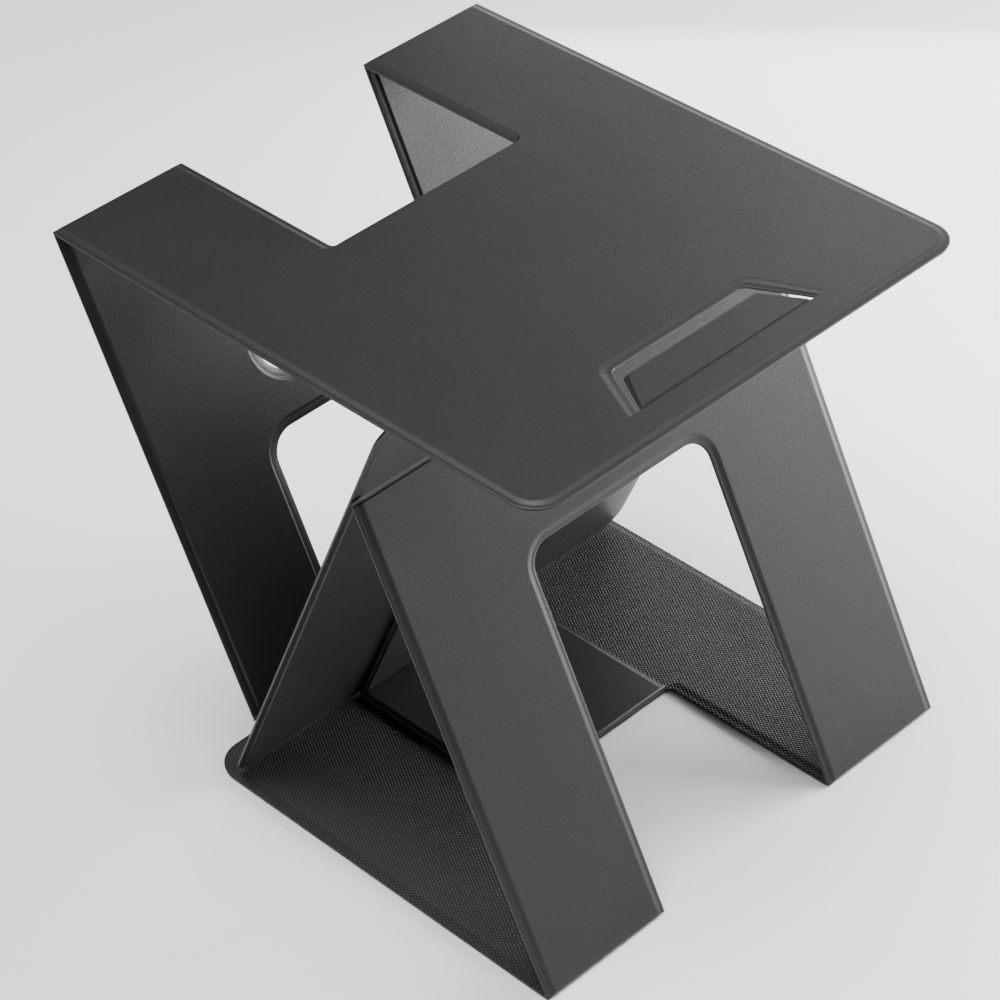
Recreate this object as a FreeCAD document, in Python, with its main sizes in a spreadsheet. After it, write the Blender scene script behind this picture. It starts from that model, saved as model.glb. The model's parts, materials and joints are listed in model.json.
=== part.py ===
"""Folding laptop stand: five leather-covered boards hinged in a zigzag, with tongues and lock plates.

All sizes are in millimetres.  +X is to the user's right, -Y is the front and +Z is up.
The origin is on the floor, at the middle of the stand's footprint.

The panels, from the floor up, are the base, the front leg, the brace, the rear leg and the top:
the base and the front leg meet at the front floor edge, the top and the rear leg at the back of
the top, and both legs are hinged on the brace, which stands on the base and carries the top.
Every panel is a stiff board between two moulded leather skins.  The skins meet in a thin flat rim
outside the board; along a fold there is no rim.
"""
import FreeCAD, Part
import Sketcher
import os
from dataclasses import dataclass

DRIVING_SIZES = [
    # overall
    ("width", 236.0),
    ("height", 250.0),
    ("top_depth", 272.5),
    ("base_depth", 206.7),
    ("base_inset", 60.5),          # the base's back edge is this far in front of the top's back edge
    ("rear_leg_angle", 65.3),      # angles are from the horizontal, in degrees
    ("front_leg_angle", 64.9),
    ("brace_angle", 64.7),
    ("brace_setback", 17.0),       # brace foot, in front of the base's back edge
    # lamination
    ("panel_thickness", 2.6),
    ("board_thickness", 1.4),
    ("rim_width", 4.5),
    ("rim_thickness", 0.5),        # of one skin; the two skins lie on each other
    ("skin_wall", 1.0),
    ("bevel", 0.6),
    # notches and windows
    ("notch_half", 50.5),
    ("top_notch_depth", 93.6),
    ("base_notch_depth", 93.6),
    ("rear_notch_depth", 100.3),
    ("front_notch_depth", 167.9),
    ("rear_crossbar", 21.4),
    ("rear_window_half", 60.5),
    # corner radii
    ("top_corner", 14.0),
    ("base_corner", 15.0),
    ("brace_corner", 11.0),
    ("tight_corner", 3.5),
    ("front_notch_corner", 11.0),
    ("rear_notch_corner", 15.0),
    ("rear_window_corner", 12.0),
    # finger slot and its flap
    ("slot_back_reach", 230.4),    # from the top's back edge
    ("slot_fold_reach", 255.6),
    ("slot_back_half", 36.3),
    ("slot_front_half", 49.7),
    ("slot_corner", 4.0),
    ("flap_side_gap", 3.0),
    ("flap_back_gap", 6.5),
    ("flap_corner", 2.5),
    ("flap_rim", 1.2),
    # tongues and lock plates, cut out of the notches
    ("tongue_gap", 3.1),           # beside a tongue or a plate, in its notch
    ("tongue_thickness", 2.6),
    ("tongue_corner", 6.0),
    ("tongue_rim", 3.0),
    ("base_tongue_length", 93.5),
    ("top_tongue_notch_gap", 10.6),  # behind the top tongue when it is turned back into its notch
    ("top_tongue_brace_gap", 16.0),  # between the top tongue's end and the brace's top edge
    ("front_plate_foot", 5.0),     # lower end of the front plate, up the brace
    ("front_plate_length", 158.0),
    ("back_plate_top_gap", 3.5),   # below the brace's top edge
    ("back_plate_length", 93.0),
    # magnets and steel
    ("magnet_length", 20.0),
    ("magnet_width", 8.0),
    ("magnet_pitch", 56.0),
    ("plate_magnet_pitch", 50.0),
    ("magnet_inset", 11.0),
    ("steel_length", 200.0),
    ("steel_width", 12.0),
    ("insert_clearance", 0.1),
    # clearances
    ("fold_gap", 0.15),
    ("rest_gap", 0.15),
    ("flap_fold_gap", 0.2),
    ("tongue_fold_setback", 1.5),
    ("tongue_spine", 1.2),
]

# Sizes that follow from the driving ones, in the order in which they need each other.
DERIVED_SIZES = [
    ("back_edge", "=Dims.top_depth / 2"),
    ("base_back", "=back_edge - Dims.base_inset"),
    ("front_edge", "=base_back - Dims.base_depth"),
    ("foot_edge", "=base_back - Dims.brace_setback"),
    ("foot_level", "=Dims.panel_thickness + Dims.rest_gap"),
    # unit directions up each leaning panel, and their face normals, in the Y-Z plane
    ("front_dy", "=cos(Dims.front_leg_angle)"),
    ("front_dz", "=sin(Dims.front_leg_angle)"),
    ("rear_dy", "=cos(Dims.rear_leg_angle)"),
    ("rear_dz", "=sin(Dims.rear_leg_angle)"),
    ("brace_dy", "=-cos(Dims.brace_angle)"),
    ("brace_dz", "=sin(Dims.brace_angle)"),
    ("brace_length", "=(Dims.height - 2 * foot_level + brace_dy * Dims.panel_thickness) / brace_dz"),
    # the front leg's back face meets the brace's front face at the front apex
    ("front_back_y", "=front_edge + Dims.panel_thickness * front_dz"),
    ("front_back_z", "=-Dims.panel_thickness * front_dy"),
    ("front_cross", "=brace_dy * front_dz - brace_dz * front_dy"),
    ("front_gap_y", "=front_back_y - foot_edge"),
    ("front_gap_z", "=front_back_z - foot_level"),
    ("front_length", "=(front_gap_y * brace_dz - front_gap_z * brace_dy) / front_cross"),
    ("front_on_brace", "=(front_gap_y * front_dz - front_gap_z * front_dy) / front_cross"),
    # the rear leg's front face meets the brace's back face at the rear joint
    ("rear_face_y", "=back_edge - Dims.panel_thickness * rear_dz"),
    ("rear_face_z", "=Dims.height + Dims.panel_thickness * rear_dy"),
    ("brace_back_y", "=foot_edge + Dims.panel_thickness * brace_dz"),
    ("brace_back_z", "=foot_level - Dims.panel_thickness * brace_dy"),
    ("rear_cross", "=brace_dy * rear_dz - brace_dz * rear_dy"),
    ("rear_gap_y", "=rear_face_y - brace_back_y"),
    ("rear_gap_z", "=rear_face_z - brace_back_z"),
    ("rear_length", "=-(rear_gap_y * brace_dz - rear_gap_z * brace_dy) / rear_cross"),
    ("rear_on_brace", "=(rear_gap_y * rear_dz - rear_gap_z * rear_dy) / rear_cross"),
    # a board ends this far from the edge that it is folded on, so that the inner faces only meet
    ("top_fold_end", "=Dims.panel_thickness / tan(Dims.rear_leg_angle / 2)"),
    ("front_fold_end", "=Dims.panel_thickness / tan(Dims.front_leg_angle / 2)"),
    # tongue, plates, flap
    ("tongue_half", "=Dims.notch_half - Dims.tongue_gap"),
    ("flap_slant", "=(Dims.slot_front_half - Dims.slot_back_half)"
                   " / (Dims.slot_fold_reach - Dims.slot_back_reach)"),
    ("flap_front_half", "=Dims.slot_front_half - Dims.flap_side_gap"),
    ("flap_back_half", "=Dims.slot_back_half + flap_slant * Dims.flap_back_gap - Dims.flap_side_gap"),
    ("back_plate_end", "=brace_length - Dims.back_plate_top_gap"),
    ("steel_on_top", "=back_edge - (foot_edge + brace_length * brace_dy)"),
    ("steel_on_base", "=foot_edge - front_edge"),
    # the top tongue fits in its notch, and in front of the brace when it lies under the top
    ("top_tongue_length", "=min(Dims.top_notch_depth - Dims.top_tongue_notch_gap;"
                          " steel_on_top - Dims.top_notch_depth - Dims.top_tongue_brace_gap)"),
    # a plate's end is rounded to follow the corner of the notch that it was cut from, as far as
    # its raised face, which is moulded with square corners first, stays on the rounded rim
    ("plate_corner_limit", "=3.3 * Dims.tongue_rim"),
    ("front_plate_corner", "=min(Dims.front_notch_corner - Dims.tongue_gap; plate_corner_limit)"),
    ("back_plate_corner", "=min(Dims.rear_notch_corner - Dims.tongue_gap; plate_corner_limit)"),
]

doc = FreeCAD.newDocument("laptop_stand")
sub_parts = []


def fill_sheet(name, rows):
    """Make a spreadsheet with a label, a value and an alias in each row."""
    sheet = doc.addObject("Spreadsheet::Sheet", name)
    for row, (alias, value) in enumerate(rows, start=1):
        sheet.set(f"A{row}", alias)
        sheet.set(f"B{row}", str(value))
        sheet.setAlias(f"B{row}", alias)
        if str(value).startswith("="):
            doc.recompute()
    doc.recompute()
    return sheet


dims = fill_sheet("Dims", DRIVING_SIZES)
layout = fill_sheet("Layout", DERIVED_SIZES)


def number(expression):
    """Value of an expression in the two sheets' aliases."""
    return float(dims.evalExpression(expression))


# ---------------------------------------------------------------- outlines

@dataclass
class Corner:
    """A corner of a panel's right half: its place, and which way the material lies from it."""
    x: str
    y: str
    into_x: int
    into_y: int
    radius: str = ""
    concave: bool = False
    on_fold: bool = False          # the edge along X through this corner is a fold, without a rim

    def place(self, side, rim, wall):
        """Expressions of the corner's x and y, with the outline moved inwards."""
        rim_y = "0" if self.on_fold else rim
        x = f"{side} * ({self.x} + {self.into_x} * ({rim} + {wall}))"
        y = f"{self.y} + {self.into_y} * ({rim_y} + {wall})"
        return x, y

    def rounding(self, rim, wall):
        """Expression of the corner's radius on the moved outline."""
        if self.on_fold:
            return self.radius
        if self.concave:
            return f"{self.radius} + {rim} + {wall}"
        return f"max({self.radius} - {rim} - {wall}; 0.4)"


def whole_loop(right_half):
    """Corners of a loop that is symmetric about X = 0, each with its side."""
    right = [(1, corner) for corner in right_half]
    left = [(-1, corner) for corner in reversed(right_half)]
    return right + left


def draw_loops(body, name, loops, rim, wall):
    """Sketch closed loops of straight edges, each corner bound to the sheets."""
    sketch = body.newObject("Sketcher::SketchObject", name)
    plane = next(o for o in body.Origin.OriginFeatures if o.Role == "XY_Plane")
    sketch.AttachmentSupport = [(plane, "")]
    sketch.MapMode = "FlatFace"
    for right_half in loops:
        places = [corner.place(side, rim, wall) for side, corner in whole_loop(right_half)]
        draw_polygon(sketch, places)
    return sketch


def draw_polygon(sketch, places):
    """Add one closed polygon whose corners are expressions of x and y."""
    points = [FreeCAD.Vector(number(x), number(y), 0) for x, y in places]
    first = sketch.GeometryCount
    count = len(points)
    for i in range(count):
        sketch.addGeometry(Part.LineSegment(points[i], points[(i + 1) % count]), False)
    for i in range(count):
        follower = first + (i + 1) % count
        sketch.addConstraint(Sketcher.Constraint("Coincident", first + i, 2, follower, 1))
    for i, (x, y) in enumerate(places):
        for kind, expression, value in (("DistanceX", x, points[i].x), ("DistanceY", y, points[i].y)):
            index = sketch.addConstraint(Sketcher.Constraint(kind, first + i, 1, value))
            sketch.setExpression(f"Constraints[{index}]", expression)


# ---------------------------------------------------------------- features

def pad(body, sketch, length, side):
    """Pad a mid-plane sketch by a length: up, down, or half each way when side is 0."""
    feature = body.newObject("PartDesign::Pad", f"{sketch.Name}_pad")
    feature.Profile = sketch
    feature.setExpression("Length", length)
    feature.SideType = "Symmetric" if side == 0 else "One side"
    feature.Reversed = side < 0
    sketch.Visibility = False
    doc.recompute()
    return feature


def pocket(body, sketch, length, side):
    """Cut a mid-plane sketch into the body, and check that something was cut."""
    volume_before = body.Shape.Volume
    feature = body.newObject("PartDesign::Pocket", f"{sketch.Name}_pocket")
    feature.Profile = sketch
    feature.setExpression("Length", length)
    feature.SideType = "Symmetric" if side == 0 else "One side"
    feature.Reversed = side > 0
    doc.recompute()
    if not body.Shape.Volume < volume_before:
        raise RuntimeError(f"{feature.Name} cuts nothing")
    return feature


def round_corners(body, loops, rim, wall):
    """Round the upright edges that stand on the loops' rounded corners."""
    rounded = [(side, c) for loop in loops for side, c in whole_loop(loop) if c.radius]
    for radius in sorted({c.rounding(rim, wall) for _, c in rounded}):
        base = body.Tip
        names = []
        for side, corner in rounded:
            if corner.rounding(rim, wall) != radius:
                continue
            x, y = (number(value) for value in corner.place(side, rim, wall))
            names += upright_edges(base.Shape, x, y)
        feature = body.newObject("PartDesign::Fillet", f"{base.Name}_round")
        feature.Base = (base, names)
        feature.setExpression("Radius", radius)
        doc.recompute()


def upright_edges(shape, x, y):
    """Names of the edges parallel to Z at a place."""
    names = []
    for index, edge in enumerate(shape.Edges, start=1):
        box = edge.BoundBox
        upright = box.XLength < 1e-4 and box.YLength < 1e-4
        if upright and abs(box.XMin - x) < 1e-3 and abs(box.YMin - y) < 1e-3:
            names.append(f"Edge{index}")
    return names


def bevel_face(body, side, loops, thickness):
    """Bevel the free edges of the raised face; the fold edges stay square."""
    level = side * number(thickness) / 2
    folds = [number(c.place(1, "0", "0")[1]) for loop in loops for c in loop if c.on_fold]
    base = body.Tip
    names = []
    for index, edge in enumerate(base.Shape.Edges, start=1):
        box = edge.BoundBox
        at_level = box.ZLength < 1e-4 and abs(box.ZMin - level) < 1e-4
        on_fold = box.YLength < 1e-4 and any(abs(box.YMin - y) < 1e-3 for y in folds)
        if at_level and not on_fold:
            names.append(f"Edge{index}")
    feature = body.newObject("PartDesign::Chamfer", f"{body.Name}_bevel")
    feature.Base = (base, names)
    feature.setExpression("Size", "Dims.bevel")
    doc.recompute()


def place(thing, angle, y, z, normal_offset="0"):
    """Turn a piece about X by an angle and put its mid-plane off a point along its normal."""
    thing.Placement = FreeCAD.Placement(FreeCAD.Vector(), FreeCAD.Rotation(FreeCAD.Vector(1, 0, 0), 10))
    thing.setExpression("Placement.Rotation.Angle", angle)
    thing.setExpression("Placement.Base.y", f"{y} - ({normal_offset}) * sin({angle})")
    thing.setExpression("Placement.Base.z", f"{z} + ({normal_offset}) * cos({angle})")


def keep(thing, label):
    """Give a finished piece its label and list it for export."""
    thing.Label = label
    sub_parts.append(thing)


# ---------------------------------------------------------------- laminated panels

@dataclass
class Panel:
    """A board between two skins, drawn flat about its mid-plane and then placed."""
    name: str
    loops: list
    angle: str
    y: str
    z: str
    normal_offset: str = "0"
    rim: str = "Dims.rim_width"
    thickness: str = "Dims.panel_thickness"
    skin_names: tuple = ("upper_skin", "lower_skin")

    def build(self, inserts=()):
        """Make the board and its skins; inserts are rows of magnets or steel in the board."""
        self.board(inserts)
        self.skin(self.skin_names[0], 1)
        self.skin(self.skin_names[1], -1)
        for row in inserts:
            row.build(self)

    def board(self, inserts):
        """The stiff core, with a through pocket for each insert."""
        name = f"{self.name}_board"
        body = doc.addObject("PartDesign::Body", name)
        sketch = draw_loops(body, f"{name}_outline", self.loops, self.rim, "Dims.skin_wall")
        pad(body, sketch, "Dims.board_thickness", 0)
        round_corners(body, self.loops, self.rim, "Dims.skin_wall")
        for row in inserts:
            row.cut(body)
        place(body, self.angle, self.y, self.z, self.normal_offset)
        keep(body, name)

    def skin(self, suffix, side):
        """One moulded skin: a flat rim, the raised face with its bevel, and room for the board."""
        name = f"{self.name}_{suffix}"
        body = doc.addObject("PartDesign::Body", name)
        rim = draw_loops(body, f"{name}_rim", self.loops, "0", "0")
        pad(body, rim, "Dims.rim_thickness", side)
        round_corners(body, self.loops, "0", "0")
        face = draw_loops(body, f"{name}_face", self.loops, self.rim, "0")
        pad(body, face, f"{self.thickness} / 2", side)
        room = draw_loops(body, f"{name}_room", self.loops, self.rim, "Dims.skin_wall")
        pocket(body, room, "Dims.board_thickness / 2", side)
        round_corners(body, self.loops, self.rim, "Dims.skin_wall")
        round_corners(body, self.loops, self.rim, "0")
        bevel_face(body, side, self.loops, self.thickness)
        place(body, self.angle, self.y, self.z, self.normal_offset)
        keep(body, name)


@dataclass
class InsertRow:
    """A row of equal blocks let into a board, centred on X = 0."""
    name: str
    count: int
    pitch: str
    length: str
    width: str
    y: str

    def centres(self):
        """Expressions of the blocks' middles along X."""
        return [f"{i - (self.count - 1) / 2} * {self.pitch}" for i in range(self.count)]

    def cut(self, body):
        """Cut the row's pockets through a board."""
        sketch = draw_loops(body, f"{self.name}_pockets", [], "0", "0")
        for x in self.centres():
            half_x = f"({self.length} / 2 + Dims.insert_clearance)"
            half_y = f"({self.width} / 2 + Dims.insert_clearance)"
            signs = ((-1, -1), (1, -1), (1, 1), (-1, 1))
            places = [(f"{x} + {i} * {half_x}", f"{self.y} + {j} * {half_y}") for i, j in signs]
            draw_polygon(sketch, places)
        pocket(body, sketch, "2 * Dims.board_thickness", 0)

    def build(self, panel):
        """Make the row's blocks as separate solids in one piece."""
        blocks = []
        for i, x in enumerate(self.centres()):
            block = doc.addObject("Part::Box", f"{self.name}_{i + 1}")
            block.setExpression("Length", self.length)
            block.setExpression("Width", self.width)
            block.setExpression("Height", "Dims.board_thickness - Dims.insert_clearance")
            block.setExpression("Placement.Base.x", f"{x} - {self.length} / 2")
            block.setExpression("Placement.Base.y", f"{self.y} - {self.width} / 2")
            block.setExpression("Placement.Base.z",
                                "-(Dims.board_thickness - Dims.insert_clearance) / 2")
            blocks.append(block)
        group = doc.addObject("Part::Compound", self.name)
        group.Links = blocks
        place(group, panel.angle, panel.y, panel.z, panel.normal_offset)
        keep(group, self.name)


def magnets(name, count, pitch, y):
    """A row of bar magnets."""
    return InsertRow(name, count, pitch, "Dims.magnet_length", "Dims.magnet_width", y)


def steel_strip(name, y):
    """A strip of sheet steel that magnets hold on to."""
    return InsertRow(name, 1, "0", "Dims.steel_length", "Dims.steel_width", y)


# ---------------------------------------------------------------- leather corners

def fold_piece(label, profile, x_from, x_to, y, z):
    """A leather corner: a profile in the Y-Z plane drawn out along X."""
    body = doc.addObject("PartDesign::Body", label)
    sketch = body.newObject("Sketcher::SketchObject", f"{label}_profile")
    plane = next(o for o in body.Origin.OriginFeatures if o.Role == "YZ_Plane")
    sketch.AttachmentSupport = [(plane, "")]
    sketch.MapMode = "FlatFace"
    draw_polygon(sketch, profile)
    pad(body, sketch, f"{x_to} - ({x_from})", 1)
    body.setExpression("Placement.Base.x", x_from)
    body.setExpression("Placement.Base.y", y)
    body.setExpression("Placement.Base.z", z)
    keep(body, label)


HALF_WIDTH = "Dims.width / 2"
NOTCH = "Dims.notch_half"
MID = "Dims.panel_thickness / 2"


def leg_sides(inner):
    """The two legs beside a notch, each as a name and its span along X."""
    return (("left", f"-{HALF_WIDTH}", f"-{inner}"), ("right", inner, HALF_WIDTH))


# The top: its local Y runs back, from the finger slot's edge towards the rear fold at Y = 0.
TOP_FOLD = "-(Layout.top_fold_end + Dims.fold_gap)"
TOP_OUTLINE = [
    Corner(NOTCH, "-Dims.top_notch_depth", 1, -1, "Dims.tight_corner", concave=True, on_fold=True),
    Corner(NOTCH, TOP_FOLD, 1, -1, on_fold=True),
    Corner(HALF_WIDTH, TOP_FOLD, -1, -1, on_fold=True),
    Corner(HALF_WIDTH, "-Dims.top_depth", -1, 1, "Dims.top_corner"),
]
SLOT_FRONT = "-(Dims.slot_fold_reach + Dims.flap_fold_gap)"
SLOT_OUTLINE = [
    Corner("Dims.slot_back_half", "-Dims.slot_back_reach", 1, 1, "Dims.slot_corner", concave=True),
    Corner("Dims.slot_front_half", SLOT_FRONT, 1, -1, on_fold=True),
]
top = Panel("top", [TOP_OUTLINE, SLOT_OUTLINE], "0", "Layout.back_edge",
            f"Dims.height - {MID}")
top.build([steel_strip("top_steel_strip", "-Layout.steel_on_top")])

# The slot's flap, which lies in the top's plane and folds down along its front edge.
FLAP_OUTLINE = [
    Corner("Layout.flap_back_half", "-(Dims.slot_back_reach + Dims.flap_back_gap)", -1, -1,
           "Dims.flap_corner"),
    Corner("Layout.flap_front_half", "-(Dims.slot_fold_reach - Dims.flap_fold_gap)", -1, 1,
           on_fold=True),
]
flap = Panel("slot_flap", [FLAP_OUTLINE], "0", "Layout.back_edge", f"Dims.height - {MID}",
             rim="Dims.flap_rim")
flap.build()

# The rear leg: its local Y runs up to the rear fold at Y = 0.
REAR_FOOT = "-(Layout.rear_length - Dims.fold_gap)"
REAR_WINDOW_TOP = "-(Dims.rear_notch_depth + Dims.rear_crossbar)"
REAR_OUTLINE = [
    Corner("Dims.rear_window_half", REAR_WINDOW_TOP, 1, 1, "Dims.rear_window_corner", concave=True),
    Corner("Dims.rear_window_half", REAR_FOOT, 1, 1, on_fold=True),
    Corner(HALF_WIDTH, REAR_FOOT, -1, 1, on_fold=True),
    Corner(HALF_WIDTH, TOP_FOLD, -1, -1, on_fold=True),
    Corner(NOTCH, TOP_FOLD, 1, -1, on_fold=True),
    Corner(NOTCH, "-Dims.rear_notch_depth", 1, -1, "Dims.rear_notch_corner", concave=True),
]
rear_leg = Panel("rear_leg", [REAR_OUTLINE], "Dims.rear_leg_angle", "Layout.back_edge",
                 "Dims.height", MID, skin_names=("inner_skin", "outer_skin"))
rear_leg.build()

# The brace: its local Y runs up from its foot, and its raised face looks forward and down.
BRACE_OUTLINE = [
    Corner(HALF_WIDTH, "0", -1, 1, "Dims.brace_corner"),
    Corner(HALF_WIDTH, "Layout.brace_length", -1, -1, "Dims.brace_corner"),
]
BRACE_ANGLE = "180 - Dims.brace_angle"
brace = Panel("brace", [BRACE_OUTLINE], BRACE_ANGLE, "Layout.foot_edge", "Layout.foot_level",
              f"-{MID}", skin_names=("front_skin", "back_skin"))
brace.build([
    magnets("brace_foot_magnets", 4, "Dims.magnet_pitch", "Dims.magnet_inset"),
    magnets("brace_top_magnets", 4, "Dims.magnet_pitch", "Layout.brace_length - Dims.magnet_inset"),
])


def tongue_outline(near, far, near_radius="", far_radius="", step=1):
    """A strip as wide as the notches leave room for, from a near to a far edge along local Y.

    An edge without a radius is a fold.
    """
    half = "Layout.tongue_half"
    return [
        Corner(half, near, -1, step, near_radius, on_fold=not near_radius),
        Corner(half, far, -1, -step, far_radius, on_fold=not far_radius),
    ]


# Two lock plates, cut out of the legs' notches and held on the brace's faces.  When the legs lie
# on the brace, each plate is back inside its notch.
PLATE_OFFSET = "(Dims.panel_thickness + Dims.tongue_thickness) / 2"
FRONT_PLATE_END = "Dims.front_plate_foot + Dims.front_plate_length"
front_plate = Panel("front_plate",
                    [tongue_outline("Dims.front_plate_foot", FRONT_PLATE_END,
                                    far_radius="Layout.front_plate_corner")],
                    BRACE_ANGLE, "Layout.foot_edge", "Layout.foot_level",
                    f"-{MID} + {PLATE_OFFSET}", rim="Dims.tongue_rim",
                    thickness="Dims.tongue_thickness", skin_names=("front_skin", "back_skin"))
front_plate.build([magnets("front_plate_magnets", 2, "Dims.plate_magnet_pitch",
                           f"{FRONT_PLATE_END} - Dims.magnet_inset")])

BACK_PLATE_FOOT = "Layout.back_plate_end - Dims.back_plate_length"
back_plate = Panel("back_plate",
                   [tongue_outline("Layout.back_plate_end", BACK_PLATE_FOOT,
                                   far_radius="Layout.back_plate_corner", step=-1)],
                   BRACE_ANGLE, "Layout.foot_edge", "Layout.foot_level",
                   f"-{MID} - {PLATE_OFFSET}", rim="Dims.tongue_rim",
                   thickness="Dims.tongue_thickness", skin_names=("front_skin", "back_skin"))
back_plate.build([magnets("back_plate_magnets", 2, "Dims.plate_magnet_pitch",
                          f"{BACK_PLATE_FOOT} + Dims.magnet_inset")])

# The front leg: its local Y runs up from the front fold at Y = 0.
FRONT_FOLD = "Layout.front_fold_end + Dims.fold_gap"
FRONT_TOP = "Layout.front_length - Dims.fold_gap"
FRONT_OUTLINE = [
    Corner(NOTCH, "Dims.front_notch_depth", 1, 1, "Dims.front_notch_corner", concave=True),
    Corner(NOTCH, FRONT_FOLD, 1, 1, on_fold=True),
    Corner(HALF_WIDTH, FRONT_FOLD, -1, 1, on_fold=True),
    Corner(HALF_WIDTH, FRONT_TOP, -1, -1, on_fold=True),
]
front_leg = Panel("front_leg", [FRONT_OUTLINE], "Dims.front_leg_angle", "Layout.front_edge", "0",
                  f"-{MID}", skin_names=("outer_skin", "inner_skin"))
front_leg.build()

# The base: its local Y runs back from the front fold at Y = 0.
BASE_OUTLINE = [
    Corner(NOTCH, "Dims.base_notch_depth", 1, 1, "Dims.tight_corner", concave=True, on_fold=True),
    Corner(NOTCH, FRONT_FOLD, 1, 1, on_fold=True),
    Corner(HALF_WIDTH, FRONT_FOLD, -1, 1, on_fold=True),
    Corner(HALF_WIDTH, "Dims.base_depth", -1, -1, "Dims.base_corner"),
]
base = Panel("base", [BASE_OUTLINE], "0", "Layout.front_edge", MID,
             skin_names=("grip_skin", "lower_skin"))
base.build([steel_strip("base_steel_strip", "Layout.steel_on_base")])

# The base tongue, folded back on to the base from its notch; its far edge blocks the brace's foot.
base_tongue = Panel("base_tongue",
                    [tongue_outline("Dims.base_notch_depth + Dims.fold_gap",
                                    "Dims.base_notch_depth + Dims.base_tongue_length")],
                    "0", "Layout.front_edge", f"Dims.panel_thickness + {PLATE_OFFSET} - {MID}",
                    rim="Dims.tongue_rim", thickness="Dims.tongue_thickness")
base_tongue.build([magnets("base_tongue_magnets", 2, "Dims.plate_magnet_pitch",
                           "Dims.base_notch_depth + Dims.base_tongue_length / 2")])

# The top tongue, folded forward under the top from its notch; it can be turned back into the notch.
TOP_TONGUE_ROOT = "-(Dims.top_notch_depth + Dims.tongue_fold_setback)"
TOP_TONGUE_END = "-(Dims.top_notch_depth + Layout.top_tongue_length)"
top_tongue = Panel("top_tongue",
                   [tongue_outline(TOP_TONGUE_ROOT, TOP_TONGUE_END,
                                   far_radius="Dims.tongue_corner", step=-1)],
                   "0", "Layout.back_edge",
                   "Dims.height - Dims.panel_thickness - Dims.tongue_thickness / 2",
                   rim="Dims.tongue_rim", thickness="Dims.tongue_thickness")
top_tongue.build([magnets("top_tongue_magnets", 2, "Dims.plate_magnet_pitch",
                          f"{TOP_TONGUE_END} + Dims.magnet_inset")])

# The leather corners at the folds.
TOP_CORNER = [
    ("0", "0"),
    ("-Layout.top_fold_end", "0"),
    ("-Layout.top_fold_end", "-Dims.panel_thickness"),
    ("-Layout.top_fold_end * Layout.rear_dy", "-Layout.top_fold_end * Layout.rear_dz"),
]
FRONT_CORNER = [
    ("0", "0"),
    ("Layout.front_fold_end", "0"),
    ("Layout.front_fold_end", "Dims.panel_thickness"),
    ("Layout.front_fold_end * Layout.front_dy", "Layout.front_fold_end * Layout.front_dz"),
]
for hand, x_from, x_to in leg_sides(NOTCH):
    fold_piece(f"top_fold_{hand}", TOP_CORNER, x_from, x_to, "Layout.back_edge", "Dims.height")
    fold_piece(f"front_fold_{hand}", FRONT_CORNER, x_from, x_to, "Layout.front_edge", "0")

# Where a leg's square end meets the brace, the leather fills the wedge outside the joint.  The
# wedge touches the brace's face and stays a fold gap away from the leg's end.
FRONT_WEDGE = [
    ("Dims.fold_gap * Layout.brace_dy", "Dims.fold_gap * Layout.brace_dz"),
    ("Dims.fold_gap * Layout.brace_dy - Dims.panel_thickness * Layout.front_dz",
     "Dims.fold_gap * Layout.brace_dz + Dims.panel_thickness * Layout.front_dy"),
    ("(Dims.fold_gap + Dims.panel_thickness) * Layout.brace_dy",
     "(Dims.fold_gap + Dims.panel_thickness) * Layout.brace_dz"),
]
fold_piece("brace_front_fold", FRONT_WEDGE, f"-{HALF_WIDTH}", HALF_WIDTH,
           "Layout.foot_edge + Layout.front_on_brace * Layout.brace_dy",
           "Layout.foot_level + Layout.front_on_brace * Layout.brace_dz")
REAR_WEDGE = [
    ("-Dims.fold_gap * Layout.brace_dy", "-Dims.fold_gap * Layout.brace_dz"),
    ("-Dims.fold_gap * Layout.brace_dy + Dims.panel_thickness * Layout.rear_dz",
     "-Dims.fold_gap * Layout.brace_dz - Dims.panel_thickness * Layout.rear_dy"),
    ("-(Dims.fold_gap + Dims.panel_thickness) * Layout.brace_dy",
     "-(Dims.fold_gap + Dims.panel_thickness) * Layout.brace_dz"),
]
for hand, x_from, x_to in leg_sides("Dims.rear_window_half"):
    fold_piece(f"brace_rear_fold_{hand}", REAR_WEDGE, x_from, x_to,
               "Layout.brace_back_y + Layout.rear_on_brace * Layout.brace_dy",
               "Layout.brace_back_z + Layout.rear_on_brace * Layout.brace_dz")

# The leather spines that the two tongues turn on, in front of or behind their notch edges.
TONGUE_SPAN = ("-Layout.tongue_half", "Layout.tongue_half")
BASE_SPINE = [
    ("0", "Dims.rim_thickness"),
    ("0", "Dims.panel_thickness + Dims.tongue_thickness - Dims.rim_thickness"),
    ("-Dims.tongue_spine", "Dims.panel_thickness + Dims.tongue_thickness - 2 * Dims.rim_thickness"),
    ("-Dims.tongue_spine", "2 * Dims.rim_thickness"),
]
fold_piece("base_tongue_fold", BASE_SPINE, *TONGUE_SPAN,
           "Layout.front_edge + Dims.base_notch_depth - Dims.fold_gap / 3", "0")
TOP_SPINE = [
    ("0", "-Dims.rim_thickness"),
    ("0", "-Dims.panel_thickness"),
    ("Dims.tongue_spine", "-Dims.panel_thickness"),
    ("Dims.tongue_spine", "-Dims.rim_thickness"),
]
fold_piece("top_tongue_fold", TOP_SPINE, *TONGUE_SPAN,
           "Layout.back_edge - Dims.top_notch_depth", "Dims.height")


# ---------------------------------------------------------------- checks and export

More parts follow.
